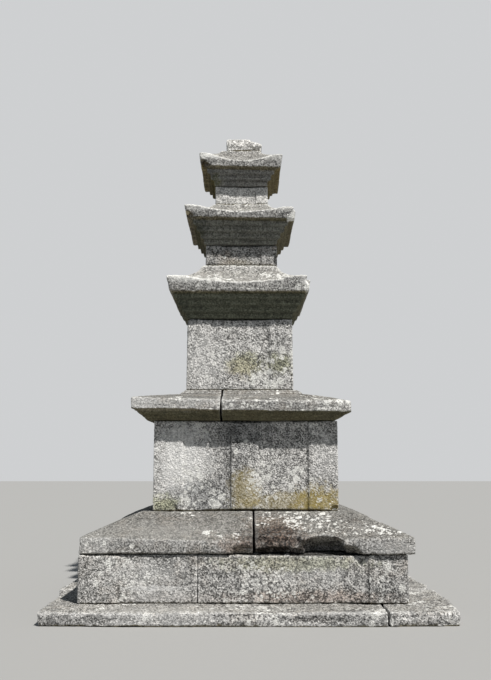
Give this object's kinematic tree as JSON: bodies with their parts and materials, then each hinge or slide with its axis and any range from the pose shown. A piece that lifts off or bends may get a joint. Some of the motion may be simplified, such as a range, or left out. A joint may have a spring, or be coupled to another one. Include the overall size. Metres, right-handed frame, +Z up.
{
  "type": "pagoda",
  "caption": "Small granite stone pagoda: storey bodies under upturned stepped roof stones, raised on a double base of pillared wall slabs and sloping cover stones.",
  "frame": {"origin": "middle of the bounding box of the ground stones, at their underside", "axes": "+Z up, front face towards -Y, +X to the right as the front is seen"},
  "size_m": [2.53, 2.516, 3.385],
  "materials": {
    "ground_granite": "rough",
    "wall_granite": "rough",
    "cover_granite": "rough",
    "body_granite": "rough",
    "roof_granite": "rough"
  },
  "bodies": {
    "root": {"ground_stone_front_left": "ground_granite", "ground_stone_front_right": "ground_granite", "ground_stone_right": "ground_granite", "ground_stone_left": "ground_granite", "ground_stone_back_left": "ground_granite", "ground_stone_back_right": "ground_granite", "lower_wall_front_left": "wall_granite", "lower_wall_front_right": "wall_granite", "lower_wall_right": "wall_granite", "lower_wall_back_right": "wall_granite", "lower_wall_back_left": "wall_granite", "lower_wall_left": "wall_granite", "lower_cover_front_left": "cover_granite", "lower_cover_front_right": "cover_granite", "lower_cover_back_left": "cover_granite", "lower_cover_back_right": "cover_granite", "upper_wall_front": "wall_granite", "upper_wall_right": "wall_granite", "upper_wall_back": "wall_granite", "upper_wall_left": "wall_granite", "upper_cover_left": "cover_granite", "upper_cover_right": "cover_granite", "first_body": "body_granite", "first_roof": "roof_granite", "second_body": "body_granite", "second_roof": "roof_granite", "third_body": "body_granite", "third_roof": "roof_granite", "finial_base": "roof_granite"}
  },
  "joints": []
}
